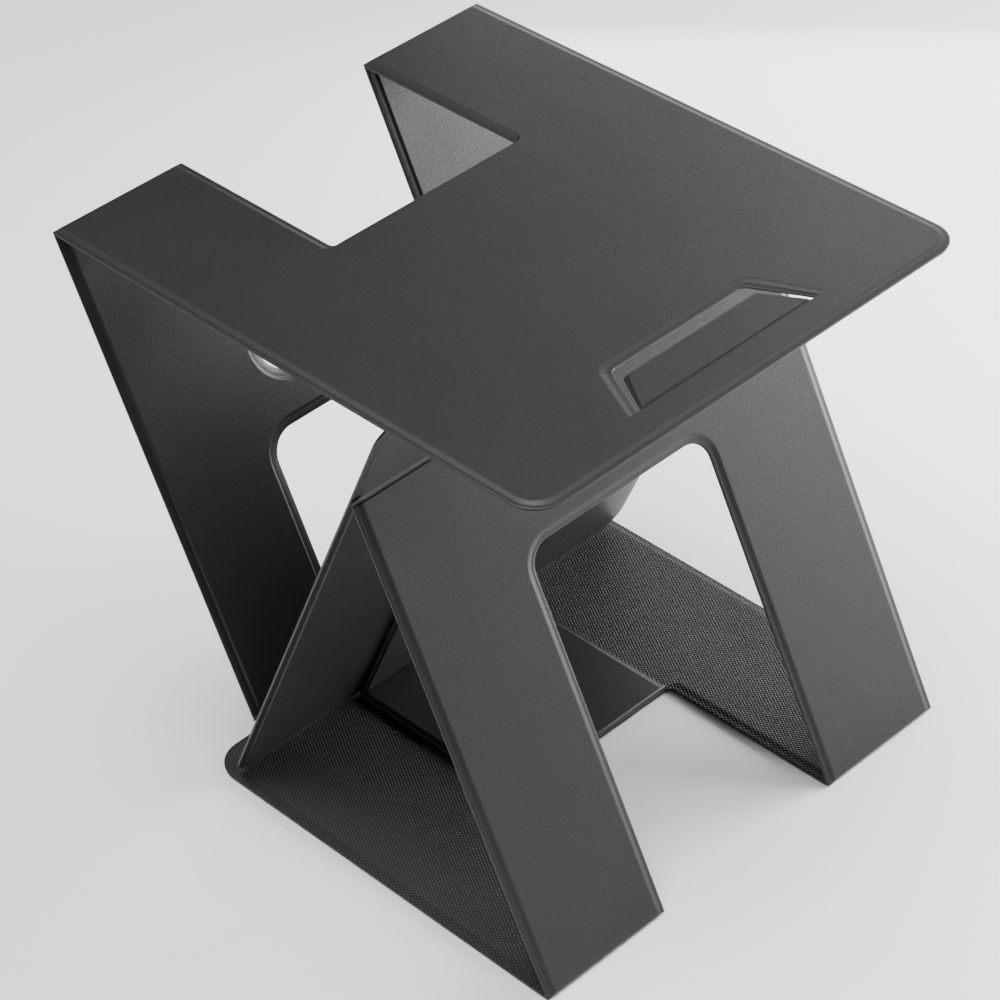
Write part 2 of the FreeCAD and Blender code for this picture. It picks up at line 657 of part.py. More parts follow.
doc.recompute()
for thing in doc.Objects:
    if any(state in thing.State for state in ("Invalid", "Error")):
        raise RuntimeError(f"{thing.Name} failed: {thing.State}")
os.makedirs("parts", exist_ok=True)
for piece in sub_parts:
    shape = piece.Shape
    if shape.isNull() or not shape.isValid() or not shape.Solids:
        raise RuntimeError(f"{piece.Label} has no valid solid")
    shape.exportStep(f"parts/{piece.Label}.step")
    box = shape.BoundBox
    print(f"{piece.Label:22s} solids {len(shape.Solids)} volume {shape.Volume:9.1f} "
          f"y {box.YMin:7.1f}..{box.YMax:7.1f} z {box.ZMin:6.2f}..{box.ZMax:6.2f}")
print(len(sub_parts), "pieces")
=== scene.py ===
"""Looks of the folding laptop stand: moulded leather panels, folds, boards and a soft studio.

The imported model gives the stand's size and its joints.  Sizes below are in millimetres and lengths
become metres only when a mesh is made.  Each panel has its own flat frame: x runs across the stand,
v runs up or back along the panel and n is the height above the panel's middle.
"""
import json
import logging
import math
from dataclasses import dataclass, field
from enum import Enum

import bmesh
import bpy
from mathutils import Matrix, Vector
from mathutils.geometry import tessellate_polygon


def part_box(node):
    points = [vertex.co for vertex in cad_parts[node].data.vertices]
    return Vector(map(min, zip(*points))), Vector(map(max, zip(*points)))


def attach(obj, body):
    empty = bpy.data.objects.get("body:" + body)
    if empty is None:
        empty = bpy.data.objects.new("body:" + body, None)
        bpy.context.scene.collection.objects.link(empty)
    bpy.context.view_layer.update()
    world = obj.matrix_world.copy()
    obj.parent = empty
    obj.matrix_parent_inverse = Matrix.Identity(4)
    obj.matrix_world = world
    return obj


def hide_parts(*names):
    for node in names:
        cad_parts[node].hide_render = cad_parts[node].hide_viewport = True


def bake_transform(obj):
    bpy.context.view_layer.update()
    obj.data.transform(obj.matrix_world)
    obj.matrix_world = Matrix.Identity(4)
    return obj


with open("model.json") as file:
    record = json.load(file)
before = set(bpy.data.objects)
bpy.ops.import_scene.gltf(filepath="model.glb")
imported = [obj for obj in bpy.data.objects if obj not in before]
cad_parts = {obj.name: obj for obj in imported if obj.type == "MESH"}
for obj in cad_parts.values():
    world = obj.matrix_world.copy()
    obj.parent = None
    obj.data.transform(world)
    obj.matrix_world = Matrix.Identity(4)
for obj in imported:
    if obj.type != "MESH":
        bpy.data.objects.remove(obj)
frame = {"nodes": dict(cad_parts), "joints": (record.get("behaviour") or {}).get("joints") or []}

MM = 0.001
ARC_STEPS = 10
SHARP_ANGLE = math.radians(38)

log = logging.getLogger("laptop_stand")

Pair = tuple[float, float]


class Slot(Enum):
    """Material slots of the record."""

    LEATHER = "leather"
    GRIP = "grip_leather"
    BOARD = "board"
    STEEL = "steel"
    MAGNET = "magnet"


# ------------------------------------------------------------------ materials

class NodeTree:
    """A material's node tree with short calls to add and join nodes."""

    def __init__(self, name: str) -> None:
        """Make an empty material with an output and a Principled shader.

        Args:
            name: name of the material.
        """
        self.material = bpy.data.materials.new(name)
        self.material.use_nodes = True
        self.tree = self.material.node_tree
        self.tree.nodes.clear()
        self.output = self.add("ShaderNodeOutputMaterial")
        self.shader = self.add("ShaderNodeBsdfPrincipled")
        self.join(self.shader, "BSDF", self.output, "Surface")
        self.place = self.add("ShaderNodeTexCoord")

    def add(self, kind: str, **settings: object) -> bpy.types.Node:
        """Add a node.

        Args:
            kind: Blender's name of the node's type.
            settings: node attributes, or input values where the key starts with in_.

        Returns:
            The new node.
        """
        node = self.tree.nodes.new(kind)
        for key, value in settings.items():
            if key.startswith("in_"):
                node.inputs[key[3:].replace("_", " ")].default_value = value
            else:
                setattr(node, key, value)
        return node

    def join(self, source: bpy.types.Node, out: str | int, target: bpy.types.Node,
             into: str | int) -> None:
        """Link an output to an input.

        Args:
            source: node that gives the value.
            out: name or number of its output.
            target: node that takes the value.
            into: name or number of its input.
        """
        self.tree.links.new(source.outputs[out], target.inputs[into])

    def maths(self, operation: str, first: bpy.types.Node | float,
              second: bpy.types.Node | float = 0.0) -> bpy.types.Node:
        """Add a Math node on two values, each a node's first output or a number.

        Args:
            operation: Blender's name of the operation.
            first: left value.
            second: right value.

        Returns:
            The Math node.
        """
        node = self.add("ShaderNodeMath", operation=operation)
        for index, value in enumerate((first, second)):
            if isinstance(value, (int, float)):
                node.inputs[index].default_value = value
            else:
                self.join(value, 0, node, index)
        return node

    def texture(self, kind: str, cell: float, warp: bpy.types.Node | None = None,
                **settings: object) -> bpy.types.Node:
        """Add a solid texture in the stand's own coordinates.

        Args:
            kind: Blender's name of the texture node.
            cell: size of one cell in millimetres.
            warp: vector node to read instead of the plain coordinates.
            settings: further values for add.

        Returns:
            The texture node.
        """
        node = self.add(kind, in_Scale=1.0 / (cell * MM), **settings)
        if warp is None:
            self.join(self.place, "Object", node, "Vector")
        else:
            self.join(warp, 0, node, "Vector")
        return node

    def spread(self, source: bpy.types.Node, out: str | int, low: float, high: float,
               start: float = 0.0, end: float = 1.0) -> bpy.types.Node:
        """Map a value's range on to another one.

        Args:
            source: node that gives the value.
            out: its output.
            low: result at start.
            high: result at end.
            start: value that gives low.
            end: value that gives high.

        Returns:
            The Map Range node.
        """
        node = self.add("ShaderNodeMapRange")
        for name, value in (("From Min", start), ("From Max", end),
                            ("To Min", low), ("To Max", high)):
            node.inputs[name].default_value = value
        self.join(source, out, node, "Value")
        return node

    def tint(self, amount: bpy.types.Node, dark: tuple[float, ...],
             light: tuple[float, ...]) -> bpy.types.Node:
        """Mix two colours by an amount from 0 to 1.

        Args:
            amount: node whose first output is the amount.
            dark: colour at 0.
            light: colour at 1.

        Returns:
            The Mix node, whose colour is its third output.
        """
        node = self.add("ShaderNodeMix", data_type="RGBA")
        node.inputs["A"].default_value = (*dark, 1.0)
        node.inputs["B"].default_value = (*light, 1.0)
        self.tree.links.new(amount.outputs[0], node.inputs["Factor"])
        self.tree.links.new(node.outputs["Result"], self.shader.inputs["Base Color"])
        return node

    def bump(self, height: bpy.types.Node, depth: float, strength: float) -> None:
        """Raise the surface by a height.

        Args:
            height: node whose first output is the height, from 0 to 1.
            depth: height of the relief in millimetres.
            strength: share of the relief that shows.
        """
        node = self.add("ShaderNodeBump", in_Distance=depth * MM, in_Strength=strength)
        self.join(height, 0, node, "Height")
        self.join(node, "Normal", self.shader, "Normal")


@dataclass(frozen=True)
class LeatherFinish:
    """Black synthetic leather with a fine pebbled grain."""

    name: str
    dark: tuple[float, ...] = (0.0055, 0.0056, 0.0058)
    light: tuple[float, ...] = (0.0165, 0.0167, 0.0172)
    pebble: float = 0.52
    pore: float = 0.28
    cloud: float = 38.0
    relief: float = 0.075
    roughness: Pair = (0.36, 0.50)
    edge_gloss: float = -0.05
    specular: float = 0.42
    sheen: float = 0.02
    sheen_roughness: float = 0.45

    def make(self) -> bpy.types.Material:
        """Build the material.

        Returns:
            The new material.
        """
        sheet = NodeTree(self.name)
        wander = sheet.texture("ShaderNodeTexNoise", self.pebble * 3, in_Detail=2.0)
        shift = sheet.add("ShaderNodeVectorMath", operation="SCALE")
        shift.inputs["Scale"].default_value = self.pebble * MM * 0.9
        sheet.join(wander, "Color", shift, 0)
        warped = sheet.add("ShaderNodeVectorMath", operation="ADD")
        sheet.join(sheet.place, "Object", warped, 0)
        sheet.join(shift, 0, warped, 1)
        cells = sheet.texture("ShaderNodeTexVoronoi", self.pebble, warped, feature="SMOOTH_F1",
                              in_Smoothness=0.35)
        creases = sheet.texture("ShaderNodeTexVoronoi", self.pebble * 1.9, warped,
                                feature="DISTANCE_TO_EDGE")
        pores = sheet.texture("ShaderNodeTexNoise", self.pore, in_Detail=3.0, in_Roughness=0.6)
        pebbles = sheet.spread(cells, "Distance", 1.0, 0.0, 0.05, 0.75)
        valleys = sheet.spread(creases, "Distance", 0.0, 1.0, 0.0, 0.16)
        grain = sheet.maths("MULTIPLY", pebbles, sheet.maths("ADD", valleys, 0.55))
        height = sheet.maths("ADD", sheet.maths("MULTIPLY", grain, 0.62),
                             sheet.maths("MULTIPLY", pores, 0.30))
        sheet.bump(height, self.relief, 0.75)
        clouds = sheet.texture("ShaderNodeTexNoise", self.cloud, in_Detail=4.0)
        shade = sheet.maths("ADD", sheet.maths("MULTIPLY", clouds, 0.45),
                            sheet.maths("MULTIPLY", height, 0.55))
        sheet.tint(shade, self.dark, self.light)
        edge = sheet.add("ShaderNodeAttribute", attribute_name="edge")
        rough = sheet.spread(height, 0, self.roughness[1], self.roughness[0], 0.15, 0.85)
        wear = sheet.maths("MULTIPLY", sheet.spread(edge, "Fac", 0.0, 1.0), self.edge_gloss)
        worn = sheet.maths("ADD", rough, wear)
        sheet.join(worn, 0, sheet.shader, "Roughness")
        sheet.shader.inputs["Specular IOR Level"].default_value = self.specular
        sheet.shader.inputs["Sheen Weight"].default_value = self.sheen
        sheet.shader.inputs["Sheen Roughness"].default_value = self.sheen_roughness
        return sheet.material


@dataclass(frozen=True)
class GripFinish:
    """Black grip leather, embossed with round studs in a triangular lattice."""

    name: str
    row: float = 1.30
    row_angles: tuple[float, ...] = (31.0, 91.0, 151.0)
    dark: tuple[float, ...] = (0.003, 0.003, 0.0032)
    light: tuple[float, ...] = (0.034, 0.0342, 0.0350)
    relief: float = 0.30
    roughness: Pair = (0.42, 0.62)
    specular: float = 0.38

    def make(self) -> bpy.types.Material:
        """Build the material.

        Returns:
            The new material.
        """
        sheet = NodeTree(self.name)
        split = sheet.add("ShaderNodeSeparateXYZ")
        sheet.join(sheet.place, "Object", split, 0)
        total: bpy.types.Node | float = 0.0
        for angle in self.row_angles:
            turns = 2 * math.pi / (self.row * MM)
            parts = []
            for axis, way in (("X", math.cos), ("Y", math.sin)):
                part = sheet.add("ShaderNodeMath", operation="MULTIPLY")
                sheet.join(split, axis, part, 0)
                part.inputs[1].default_value = turns * way(math.radians(angle))
                parts.append(part)
            wave = sheet.maths("COSINE", sheet.maths("ADD", *parts))
            total = sheet.maths("ADD", wave, total)
        studs = sheet.spread(total, 0, 0.0, 1.0, -1.2, 2.2)
        pores = sheet.texture("ShaderNodeTexNoise", 0.3, in_Detail=3.0)
        clouds = sheet.texture("ShaderNodeTexNoise", 30.0, in_Detail=3.0)
        height = sheet.maths("ADD", studs, sheet.maths("MULTIPLY", pores, 0.12))
        sheet.bump(height, self.relief, 0.9)
        shade = sheet.maths("MULTIPLY", studs, sheet.spread(clouds, 0, 0.8, 1.15))
        sheet.tint(shade, self.dark, self.light)
        sheet.join(sheet.spread(studs, 0, self.roughness[1], self.roughness[0]), 0,
                   sheet.shader, "Roughness")
        sheet.shader.inputs["Specular IOR Level"].default_value = self.specular
        return sheet.material


@dataclass(frozen=True)
class LaminateFinish:
    """Glass-fibre laminate of the boards, with its cross weave."""

    name: str
    thread: float = 1.1

    def make(self) -> bpy.types.Material:
        """Build the material.

        Returns:
            The new material.
        """
        sheet = NodeTree(self.name)
        waves = [sheet.texture("ShaderNodeTexWave", self.thread * 6, bands_direction=axis)
                 for axis in ("X", "Y")]
        weave = sheet.maths("MULTIPLY", waves[0], waves[1])
        grain = sheet.texture("ShaderNodeTexNoise", 6.0, in_Detail=5.0)
        sheet.tint(sheet.maths("MULTIPLY", sheet.maths("ADD", weave, grain), 0.6),
                   (0.07, 0.09, 0.06), (0.20, 0.24, 0.16))
        sheet.bump(weave, 0.05, 0.6)
        sheet.join(sheet.spread(grain, 0, 0.38, 0.60), 0, sheet.shader, "Roughness")
        return sheet.material


@dataclass(frozen=True)
class MetalFinish:
    """Rolled steel or nickel plate, with fine drawn lines."""

    name: str
    dark: tuple[float, ...]
    light: tuple[float, ...]
    roughness: Pair
    line: float = 0.4

    def make(self) -> bpy.types.Material:
        """Build the material.

        Returns:
            The new material.
        """
        sheet = NodeTree(self.name)
        stretch = sheet.add("ShaderNodeMapping")
        stretch.inputs["Scale"].default_value = (0.02, 1.0, 1.0)
        sheet.join(sheet.place, "Object", stretch, "Vector")
        lines = sheet.texture("ShaderNodeTexNoise", self.line, stretch, in_Detail=4.0)
        stains = sheet.texture("ShaderNodeTexNoise", 9.0, in_Detail=3.0)
        sheet.tint(sheet.maths("MULTIPLY", lines, stains), self.dark, self.light)
        sheet.bump(lines, 0.02, 0.5)
        sheet.join(sheet.spread(stains, 0, *self.roughness), 0, sheet.shader, "Roughness")
        sheet.shader.inputs["Metallic"].default_value = 1.0
        return sheet.material


class Finishes:
    """The stand's materials, one for each slot."""

    def __init__(self) -> None:
        """Build every material once."""
        self.by_slot = {
            Slot.LEATHER: LeatherFinish("pebbled_leather").make(),
            Slot.GRIP: GripFinish("studded_grip").make(),
            Slot.BOARD: LaminateFinish("glass_laminate").make(),
            Slot.STEEL: MetalFinish("rolled_steel", (0.30, 0.31, 0.32), (0.62, 0.63, 0.65),
                                    (0.28, 0.45)).make(),
            Slot.MAGNET: MetalFinish("nickel_plate", (0.50, 0.50, 0.49), (0.80, 0.79, 0.77),
                                     (0.12, 0.26)).make(),
        }

    def dress(self, piece: bpy.types.Object, slot: Slot) -> None:
        """Give a new piece its material.

        Args:
            piece: mesh object.
            slot: slot of the record.
        """
        piece.data.materials.clear()
        piece.data.materials.append(self.by_slot[slot])

    def dress_node(self, name: str, slot: Slot) -> None:
        """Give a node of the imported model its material.

        Args:
            name: the node.
            slot: slot of the record.
        """
        node = frame["nodes"][name]
        if not node.material_slots:
            node.data.materials.append(None)
        for holder in node.material_slots:
            holder.material = self.by_slot[slot]
        log.info("%s keeps its shape", name)


# ------------------------------------------------------------------ where things are

@dataclass(frozen=True)
class Lie:
    """How a panel lies: its flat frame's start and its angle from the horizontal."""

    y: float
    z: float
    angle: float
    lift: float = 0.0

    def point(self, x: float, v: float, n: float) -> Vector:
        """Place of a point of the flat frame, in metres.

        Args:
            x: across the stand.
            v: along the panel.
            n: above the panel's middle.

        Returns:
            The point in the stand's frame.
        """
        n += self.lift
        cosine, sine = math.cos(self.angle), math.sin(self.angle)
        return Vector((x, self.y + v * cosine - n * sine, self.z + v * sine + n * cosine)) * MM


@dataclass
class StandLayout:
    """Places and angles of the five panels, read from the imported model's joints and boxes."""

    rest_gap: float = 0.15
    fold_gap: float = 0.15

    def __post_init__(self) -> None:
        """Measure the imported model."""
        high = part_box("top_upper_skin")[1] / MM
        self.half_width = high.x
        self.height = high.z
        self.thick = high.z - (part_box("top_lower_skin")[0] / MM).z
        self.middle = self.thick / 2
        pivots = {j["name"]: Vector(j["pos_m"]) / MM for j in frame["joints"]}
        self.front_edge, self.back_edge = pivots["front_fold"].y, pivots["top_fold"].y
        self.front_apex, self.rear_apex = pivots["front_apex"], pivots["rear_apex"]
        self.front_angle, self.front_length = self.lean(pivots["front_fold"], self.front_apex)
        self.rear_angle, self.rear_length = self.lean(self.rear_apex, pivots["top_fold"])
        self.brace_angle, _ = self.lean(self.rear_apex, self.front_apex)
        self.foot_level = self.thick + self.rest_gap
        rise, run = math.sin(self.brace_angle), math.cos(self.brace_angle)
        self.foot_edge = self.front_apex.y + (self.front_apex.z - self.foot_level) / rise * run
        self.brace_length = (self.height - 2 * self.foot_level - run * self.thick) / rise

    def lean(self, low: Vector, high: Vector) -> Pair:
        """Angle and length of a panel whose ends are on opposite faces.

        Args:
            low: lower point.
            high: upper point, on the other face.

        Returns:
            The angle from the horizontal in radians and the length along the panel.
        """
        reach = math.hypot(high.y - low.y, high.z - low.z)
        slope = math.atan2(high.z - low.z, abs(high.y - low.y))
        angle = slope + math.asin(self.thick / reach)
        return angle, math.sqrt(reach ** 2 - self.thick ** 2)

    def fold_end(self, angle: float) -> float:
        """Distance from a fold's edge to the end of a board beside it.

        Args:
            angle: angle between the two panels.

        Returns:
            The distance.
        """
        return self.thick / math.tan(angle / 2) + self.fold_gap


# ------------------------------------------------------------------ meshes

class MeshMaker:
    """Turns rings and loops of points into finished mesh objects."""

    @staticmethod
    def finish(name: str, mesh: bmesh.types.BMesh) -> bpy.types.Object:
        """Clean a mesh, smooth it up to its sharp edges and link it.

        Args:
            name: name of the piece.
            mesh: the mesh, which is used up.

        Returns:
            The new object.
        """
        bmesh.ops.remove_doubles(mesh, verts=mesh.verts, dist=1e-7)
        bmesh.ops.recalc_face_normals(mesh, faces=mesh.faces)
        for face in mesh.faces:
            face.smooth = True
        for edge in mesh.edges:
            edge.smooth = len(edge.link_faces) == 2 and edge.calc_face_angle(0.0) < SHARP_ANGLE
        data = bpy.data.meshes.new(name)
        mesh.to_mesh(data)
        mesh.free()
        piece = bpy.data.objects.new(name, data)
        bpy.context.scene.collection.objects.link(piece)
        return piece

    @staticmethod
    def bridge(mesh: bmesh.types.BMesh, first: list, second: list) -> None:
        """Join two closed rings of the same count.

        Args:
            mesh: mesh that holds the rings.
            first: vertices of one ring.
            second: vertices of the other.
        """
        count = len(first)
        for i in range(count):
            j = (i + 1) % count
            mesh.faces.new((first[i], first[j], second[j], second[i]))

    @staticmethod
    def cap(mesh: bmesh.types.BMesh, loops: list) -> None:
        """Close a flat face that may have holes.

        Args:
            mesh: mesh that holds the loops.
            loops: rings of vertices, the outer one first.
        """
        flat = [vertex for loop in loops for vertex in loop]
        for triangle in tessellate_polygon([[vertex.co for vertex in loop] for loop in loops]):
            corners = [flat[index] for index in triangle]
            if (corners[1].co - corners[0].co).cross(corners[2].co - corners[0].co).length > 1e-12:
                mesh.faces.new(corners)

    @classmethod
    def loft(cls, name: str, stations: list[list[Vector]]) -> bpy.types.Object:
        """Draw closed sections out into a solid with flat ends.

        Args:
            name: name of the piece.
            stations: sections of the same count of points.

        Returns:
            The new object.
        """
        mesh = bmesh.new()
        rings = [[mesh.verts.new(point) for point in section] for section in stations]
        for first, second in zip(rings, rings[1:]):
            cls.bridge(mesh, first, second)
        ends = [mesh.faces.new(rings[0]), mesh.faces.new(rings[-1])]
        bmesh.ops.triangulate(mesh, faces=ends, ngon_method="EAR_CLIP")
        return cls.finish(name, mesh)


@dataclass(frozen=True)
class Corner:
    """A corner of an outline's right half, as the place and the way to the material."""

    x: float
    y: float
    into_x: int
    into_y: int
    radius: float = 0.0
    concave: bool = False
    fold: float | None = None

    def moved(self, side: int, inset: float) -> Vector:
        """The corner with the outline moved inwards.

        Args:
            side: 1 on the right, -1 on the left.
            inset: distance from the outline.

        Returns:
            The corner in the panel's flat frame.
        """
        share = 1.0 if self.fold is None else self.fold
        return Vector((side * (self.x + self.into_x * inset), self.y + self.into_y * inset * share))

    def rounding(self, inset: float) -> float:
        """Radius on the moved outline.

        Args:
            inset: distance from the outline.

        Returns:
            The radius.
        """
        if self.fold is not None:
            return self.radius
        return self.radius + inset if self.concave else max(self.radius - inset, 0.4)


@dataclass(frozen=True)
class Outline:
    """A loop that is the same on both sides of the stand's middle."""

    corners: tuple[Corner, ...]

    def ring(self, inset: float) -> list[Vector]:
        """Points of the loop at an inset, with the corners rounded.

        Args:
            inset: distance from the outline.

        Returns:
            The points, as many at every inset.
        """
        order = [(1, c) for c in self.corners] + [(-1, c) for c in reversed(self.corners)]
        spots = [corner.moved(side, inset) for side, corner in order]
        points: list[Vector] = []
        for i, (_, corner) in enumerate(order):
            here = spots[i]
            if corner.radius == 0.0:
                points.append(here)
                continue
            back = (spots[i - 1] - here).normalized()
            ahead = (spots[(i + 1) % len(spots)] - here).normalized()
            half = back.angle(ahead) / 2
            radius = corner.rounding(inset)
            start = here + back * (radius / math.tan(half))
            centre = here + (back + ahead).normalized() * (radius / math.sin(half))
            arm = start - centre
            sweep = math.pi - 2 * half
            turn = 1 if back.x * ahead.y - back.y * ahead.x < 0 else -1
            for step in range(ARC_STEPS + 1):
                angle = turn * sweep * step / ARC_STEPS
                c, s = math.cos(angle), math.sin(angle)
                points.append(centre + Vector((arm.x * c - arm.y * s, arm.x * s + arm.y * c)))
        return points


@dataclass(frozen=True)
class EdgeProfile:
    """How a skin rises from its seam to its raised face."""

    rim: float = 4.5
    flat: float = 1.3
    slope: float = 3.3
    wall: float = 1.0
    rim_height: float = 0.5
    raised: float = 1.3
    room: float = 0.72
    steps: int = 9
    crest: float = 0.35
    tuck: float = 0.06
    lip: tuple[Pair, ...] = ((0.07, 0.0), (0.0, 0.09), (0.0, 0.30), (0.05, 0.42), (0.16, 0.5))

    def outside(self) -> list[Pair]:
        """Insets and heights of the outer surface, from the seam to the raised face."""
        rise = self.raised - self.rim_height
        points = list(self.lip)
        for step in range(self.steps + 1):
            share = step / self.steps
            height = self.rim_height + rise * share * share * (3 - 2 * share)
            points.append((self.flat + self.slope * share, height))
        points.append((self.flat + self.slope + self.crest, self.raised))
        return points

    def inside(self) -> list[Pair]:
        """Insets and heights of the hidden surface around the board."""
        inset = self.rim + self.wall - self.tuck
        return [(inset, 0.0), (inset, self.room)]


BROAD_EDGE = EdgeProfile()
CRISP_EDGE = EdgeProfile(flat=3.2, slope=1.5)
TONGUE_EDGE = EdgeProfile(rim=3.0, flat=0.7, slope=2.5)
FLAP_EDGE = EdgeProfile(rim=1.2, flat=0.25, slope=1.2)


@dataclass
class SkinnedPanel:
    """A stiff panel: two leather skins that meet in a rim outside the hidden board."""

    name: str
    body: str
    lie: Lie
    loops: list[Outline]
    skins: tuple[tuple[str, int, EdgeProfile, Slot], ...]

    def build(self, finishes: Finishes) -> None:
        """Make both skins and dress the board.

        Args:
            finishes: the stand's materials.
        """
        for suffix, side, profile, slot in self.skins:
            node = f"{self.name}_{suffix}"
            piece = self.skin(f"{node}_leather", side, profile)
            finishes.dress(piece, slot)
            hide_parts(node)
            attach(piece, self.body)
            log.info("%s: %d faces", piece.name, len(piece.data.polygons))
        finishes.dress_node(f"{self.name}_board", Slot.BOARD)

    def skin(self, name: str, side: int, profile: EdgeProfile) -> bpy.types.Object:
        """One closed, moulded skin.

        Args:
            name: name of the piece.
            side: 1 for the skin above the panel's middle, -1 for the one below.
            profile: how the skin's edge rises.

        Returns:
            The new object.
        """
        mesh = bmesh.new()
        worn = mesh.verts.layers.float.new("edge")
        tops, rooms = [], []
        for outline in self.loops:
            rings = []
            for inset, height in list(reversed(profile.outside())) + profile.inside():
                ring = [mesh.verts.new(self.lie.point(p.x, p.y, side * height))
                        for p in outline.ring(inset)]
                for vertex in ring:
                    vertex[worn] = max(0.0, 1.0 - inset / (profile.flat + profile.slope))
                rings.append(ring)
            for first, second in zip(rings, rings[1:]):
                MeshMaker.bridge(mesh, first, second)
            tops.append(rings[0])
            rooms.append(rings[-1])
        MeshMaker.cap(mesh, tops)
        MeshMaker.cap(mesh, rooms)
        return MeshMaker.finish(name, mesh)


def leather_skins(above: EdgeProfile, below: EdgeProfile, upper: str = "upper",
                  lower: str = "lower") -> tuple[tuple[str, int, EdgeProfile, Slot], ...]:
    """Two leather skins, as SkinnedPanel takes them.

    Args:
        above: edge of the skin above the panel's middle.
        below: edge of the skin below it.
        upper: first word of the upper skin's name.
        lower: first word of the lower skin's name.

    Returns:
        The skins.
    """
    return ((f"{upper}_skin", 1, above, Slot.LEATHER), (f"{lower}_skin", -1, below, Slot.LEATHER))


# ------------------------------------------------------------------ leather joints

@dataclass
class LeatherJoint:
    """A strip of leather across a joint, with thinner edges where a panel's rim runs on."""

    name: str
    bodies: tuple[str, ...]
    span: Pair
    nodes: tuple[str, ...] = ()
    profile: EdgeProfile = BROAD_EDGE
    thin: float = 0.04

    def section(self, height: float, seam: float) -> list[Pair]:
        """Closed section of the strip as y and z in millimetres.

        Args:
            height: height of the panels' outer surface here.
            seam: depth of the surface below the panels' middle here.

        Returns:
            The section's points.
        """
        raise NotImplementedError

    def ends(self) -> tuple[Pair, Pair]:
        """Points between which the strip goes over from one body to the other."""
        raise NotImplementedError

    def stations(self) -> list[tuple[float, float, float]]:
        """Places across the strip, each with its height and seam depth."""
        left, right = self.span
        rise = [(inset, height, min(height, self.profile.rim_height))
                for inset, height in self.profile.outside()]
        rise[0] = (rise[0][0], self.thin, self.thin)
        near = [(left + inset, height, seam) for inset, height, seam in rise]
        far = [(right - inset, height, seam) for inset, height, seam in reversed(rise)]
        return near + far

    def build(self, finishes: Finishes) -> None:
        """Make the strip, and join it to its body where it has only one.

        Args:
            finishes: the stand's materials.
        """
        sections = []
        for x, height, seam in self.stations():
            sections.append([Vector((x, y, z)) * MM for y, z in self.section(height, seam)])
        piece = MeshMaker.loft(self.name, sections)
        finishes.dress(piece, Slot.LEATHER)
        if self.nodes:
            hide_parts(*self.nodes)
        if len(self.bodies) == 1:
            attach(piece, self.bodies[0])
        else:
            start, end = (Vector((0.0, y, z)) * MM for y, z in self.ends())
            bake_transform(piece)
        log.info("%s joins %s", self.name, " and ".join(self.bodies))


@dataclass
class CornerFold(LeatherJoint):
    """The soft corner where two panels fold on their shared outer edge.

    The corner is drawn back by the same retreat at the raised face and at the rim.
    """

    corner: Pair = (0.0, 0.0)
    first: Pair = (0.0, 0.0)
    second: Pair = (0.0, 0.0)
    reach: float = 4.0
    retreat: float = 1.53
    tight: float = 0.05
    arc_steps: int = 9

    def __post_init__(self) -> None:
        """Work out the fold's bisector and half angle."""
        self.way_a, self.way_b = Vector(self.first).normalized(), Vector(self.second).normalized()
        self.bisector = (self.way_a + self.way_b).normalized()
        self.half = self.way_a.angle(self.way_b) / 2
        self.normal_a = self.inward(self.way_a)
        self.normal_b = self.inward(self.way_b)

    def inward(self, way: Vector) -> Vector:
        """Normal of a panel's outer face, turned into the fold.

        Args:
            way: direction along the panel, away from the fold.

        Returns:
            The unit normal.
        """
        return (self.bisector - way * self.bisector.dot(way)).normalized()

    def path(self, depth: float) -> list[Pair]:
        """Line round the fold at a depth below the panels' outer faces.

        Args:
            depth: the depth.

        Returns:
            Points from the first panel to the second.
        """
        spare = (self.retreat - depth) / (1 / math.sin(self.half) - 1)
        reach = max(spare, depth + self.tight)
        radius = reach - depth
        centre = Vector(self.corner) + self.bisector * (reach / math.sin(self.half))
        start = Vector(self.corner) + self.way_a * self.reach + self.normal_a * depth
        end = Vector(self.corner) + self.way_b * self.reach + self.normal_b * depth
        points = [start]
        arm_a, arm_b = -self.normal_a, -self.normal_b
        sweep = arm_a.angle(arm_b)
        for step in range(self.arc_steps + 1):
            share = step / self.arc_steps
            arm = (arm_a * math.sin((1 - share) * sweep) + arm_b * math.sin(share * sweep))
            points.append(centre + arm / math.sin(sweep) * radius)
        points.append(end)
        return [(p.x, p.y) for p in points]

    def section(self, height: float, seam: float) -> list[Pair]:
        """Closed section: round the outside and back along the inside."""
        outer = self.path(self.profile.raised - height)
        inner = self.path(self.profile.raised + seam)
        return outer + inner[::-1]

    def ends(self) -> tuple[Pair, Pair]:
        """Where the strip leaves the panels, on its inner line."""
        inner = self.path(self.profile.raised + self.profile.rim_height)
        return inner[0], inner[-1]


@dataclass
class WebFold(LeatherJoint):
    """Leather that fills the corner where a leg ends on the brace's face."""

    joint: Pair = (0.0, 0.0)
    leg_end: Pair = (0.0, 0.0)
    brace_way: Pair = (0.0, 0.0)
    gap: float = 0.15
    brace_reach: float = 4.2
    curve_steps: int = 7
    thin_reach: float = 0.55
    hollow: float = 0.30

    def section(self, height: float, seam: float) -> list[Pair]:
        """Closed section: from the joint up the leg's end, round, and back down the brace."""
        along, across = Vector(self.brace_way).normalized(), Vector(self.leg_end).normalized()
        root = Vector(self.joint) + along * self.gap
        rise = self.profile.raised + height
        leg = root + across * rise
        share = self.thin_reach + (1 - self.thin_reach) * height / self.profile.raised
        brace = root + along * (self.brace_reach * share)
        hollow = root + ((leg - root) + (brace - root)) * self.hollow
        points = [root]
        for step in range(self.curve_steps + 1):
            t = step / self.curve_steps
            points.append(leg * (1 - t) ** 2 + hollow * (2 * t * (1 - t)) + brace * t ** 2)
        return [(p.x, p.y) for p in points]

    def ends(self) -> tuple[Pair, Pair]:
        """From the leg's outer corner to the brace's face."""
        section = self.section(self.profile.raised, self.profile.rim_height)
        return section[1], section[-1]


